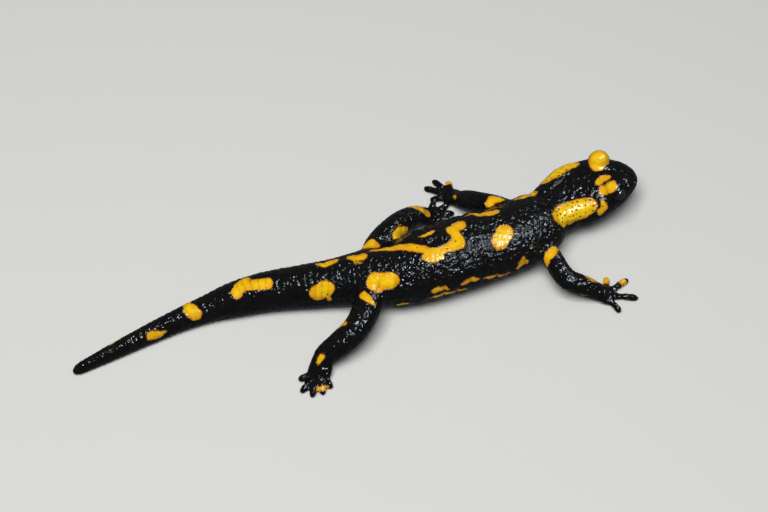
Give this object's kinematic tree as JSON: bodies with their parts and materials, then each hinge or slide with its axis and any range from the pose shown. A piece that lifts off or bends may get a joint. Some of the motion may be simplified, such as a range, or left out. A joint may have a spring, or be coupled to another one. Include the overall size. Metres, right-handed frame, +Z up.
{
  "type": "fire salamander model",
  "caption": "Still, life-size fire salamander in a walking stance: broad flat head with bulging eyes, plump curved trunk, splayed legs with stubby toes, and a long round tail.",
  "frame": {"origin": "on the floor, in the middle of the animal's box", "axes": "+X from the tail to the snout, +Y the animal's left, +Z up"},
  "size_m": [0.185, 0.067, 0.0194],
  "materials": {
    "skin": "wet, smooth and glossy, black with chrome-yellow blotches",
    "eye": "wet gloss, near-black"
  },
  "bodies": {
    "root": {"head": "skin", "lower_jaw": "skin", "eye_left": "eye", "eye_right": "eye", "neck": "skin", "chest": "skin", "belly": "skin", "pelvis": "skin", "tail_base": "skin", "tail_middle": "skin", "tail_tip": "skin", "upper_arm_right": "skin", "forearm_right": "skin", "hand_right": "skin", "upper_arm_left": "skin", "forearm_left": "skin", "hand_left": "skin", "thigh_left": "skin", "shank_left": "skin", "foot_left": "skin", "thigh_right": "skin", "shank_right": "skin", "foot_right": "skin"}
  },
  "joints": []
}
